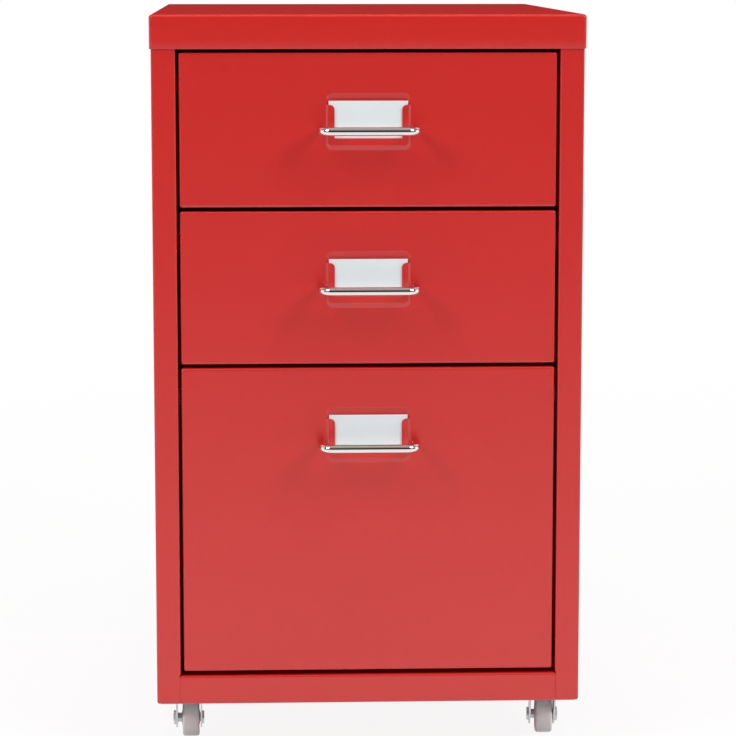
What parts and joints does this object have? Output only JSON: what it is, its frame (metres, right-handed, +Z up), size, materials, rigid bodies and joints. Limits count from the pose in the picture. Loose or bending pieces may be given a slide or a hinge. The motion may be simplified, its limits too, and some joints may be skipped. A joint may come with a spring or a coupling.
{
  "type": "rolling drawer cabinet",
  "caption": "Rolling steel cabinet with stacked drawers, wire handles, label pockets with cards and swivel casters.",
  "frame": {"origin": "on the floor under the middle of the bounding box", "axes": "+X to the right and +Y to the back, seen from the front; +Z up"},
  "size_m": [0.28, 0.4388, 0.485],
  "materials": {
    "red_paint": "semi-gloss red powder coat",
    "chrome": "bright chrome plate",
    "zinc": "zinc plated steel",
    "glide_nylon": "black nylon",
    "wheel_nylon": "light grey nylon",
    "card": "off-white paper card"
  },
  "bodies": {
    "case": {"top_cap": "red_paint", "side_panel_left": "red_paint", "side_panel_right": "red_paint", "back_panel": "red_paint", "bottom_panel": "red_paint", "case_screws": "zinc", "runner_rivets": "zinc", "caster_screws": "zinc", "caster_kingpins": "zinc", "swivel_washers": "zinc", "runner_stops": "glide_nylon", "runner_drawer_1_left": "red_paint", "runner_drawer_1_right": "red_paint", "runner_drawer_2_left": "red_paint", "runner_drawer_2_right": "red_paint", "runner_drawer_3_left": "red_paint", "runner_drawer_3_right": "red_paint", "caster_front_left_plate": "zinc", "caster_front_right_plate": "zinc", "caster_rear_left_plate": "zinc", "caster_rear_right_plate": "zinc"},
    "drawer_1": {"drawer_1_front": "red_paint", "drawer_1_floor": "red_paint", "drawer_1_back": "red_paint", "drawer_1_side_left": "red_paint", "drawer_1_side_right": "red_paint", "drawer_1_handle": "chrome", "drawer_1_handle_screws": "zinc", "drawer_1_glides": "glide_nylon"},
    "card_1": {"drawer_1_label_card": "card"},
    "drawer_2": {"drawer_2_front": "red_paint", "drawer_2_floor": "red_paint", "drawer_2_back": "red_paint", "drawer_2_side_left": "red_paint", "drawer_2_side_right": "red_paint", "drawer_2_handle": "chrome", "drawer_2_handle_screws": "zinc", "drawer_2_glides": "glide_nylon"},
    "card_2": {"drawer_2_label_card": "card"},
    "drawer_3": {"drawer_3_front": "red_paint", "drawer_3_floor": "red_paint", "drawer_3_back": "red_paint", "drawer_3_side_left": "red_paint", "drawer_3_side_right": "red_paint", "drawer_3_handle": "chrome", "drawer_3_handle_screws": "zinc", "drawer_3_glides": "glide_nylon"},
    "card_3": {"drawer_3_label_card": "card"},
    "swivel_front_left": {"caster_front_left_fork": "zinc", "caster_front_left_axle": "zinc"},
    "wheel_front_left": {"caster_front_left_wheel": "wheel_nylon"},
    "swivel_front_right": {"caster_front_right_fork": "zinc", "caster_front_right_axle": "zinc"},
    "wheel_front_right": {"caster_front_right_wheel": "wheel_nylon"},
    "swivel_rear_left": {"caster_rear_left_fork": "zinc", "caster_rear_left_axle": "zinc"},
    "wheel_rear_left": {"caster_rear_left_wheel": "wheel_nylon"},
    "swivel_rear_right": {"caster_rear_right_fork": "zinc", "caster_rear_right_axle": "zinc"},
    "wheel_rear_right": {"caster_rear_right_wheel": "wheel_nylon"}
  },
  "joints": [
    {"name": "drawer_1_slide", "type": "slide", "parent": "case", "child": "drawer_1", "axis": [0, -1, 0], "range_m": [0, 0.3]},
    {"name": "card_1_slide", "type": "slide", "parent": "drawer_1", "child": "card_1", "axis": [0, 0, 1], "range_m": [0, 0.025]},
    {"name": "drawer_2_slide", "type": "slide", "parent": "case", "child": "drawer_2", "axis": [0, -1, 0], "range_m": [0, 0.3]},
    {"name": "card_2_slide", "type": "slide", "parent": "drawer_2", "child": "card_2", "axis": [0, 0, 1], "range_m": [0, 0.025]},
    {"name": "drawer_3_slide", "type": "slide", "parent": "case", "child": "drawer_3", "axis": [0, -1, 0], "range_m": [0, 0.3]},
    {"name": "card_3_slide", "type": "slide", "parent": "drawer_3", "child": "card_3", "axis": [0, 0, 1], "range_m": [0, 0.025]},
    {"name": "caster_front_left_turn", "type": "hinge", "parent": "case", "child": "swivel_front_left", "pos_m": [-0.119, -0.1512, 0.031], "axis": [0, 0, 1], "continuous": true},
    {"name": "caster_front_left_roll", "type": "hinge", "parent": "swivel_front_left", "child": "wheel_front_left", "pos_m": [-0.11916, -0.1422, 0.0125], "axis": [0.9998, 0.0175, 0], "continuous": true},
    {"name": "caster_front_right_turn", "type": "hinge", "parent": "case", "child": "swivel_front_right", "pos_m": [0.119, -0.1512, 0.031], "axis": [0, 0, 1], "continuous": true},
    {"name": "caster_front_right_roll", "type": "hinge", "parent": "swivel_front_right", "child": "wheel_front_right", "pos_m": [0.11947, -0.14221, 0.0125], "axis": [0.9986, -0.0523, 0], "continuous": true},
    {"name": "caster_rear_left_turn", "type": "hinge", "parent": "case", "child": "swivel_rear_left", "pos_m": [-0.119, 0.1768, 0.031], "axis": [0, 0, 1], "continuous": true},
    {"name": "caster_rear_left_roll", "type": "hinge", "parent": "swivel_rear_left", "child": "wheel_rear_left", "pos_m": [-0.11806, 0.18575, 0.0125], "axis": [0.9945, -0.1045, 0], "continuous": true},
    {"name": "caster_rear_right_turn", "type": "hinge", "parent": "case", "child": "swivel_rear_right", "pos_m": [0.119, 0.1768, 0.031], "axis": [0, 0, 1], "continuous": true},
    {"name": "caster_rear_right_roll", "type": "hinge", "parent": "swivel_rear_right", "child": "wheel_rear_right", "pos_m": [0.11822, 0.18577, 0.0125], "axis": [0.9962, 0.0872, 0], "continuous": true}
  ]
}
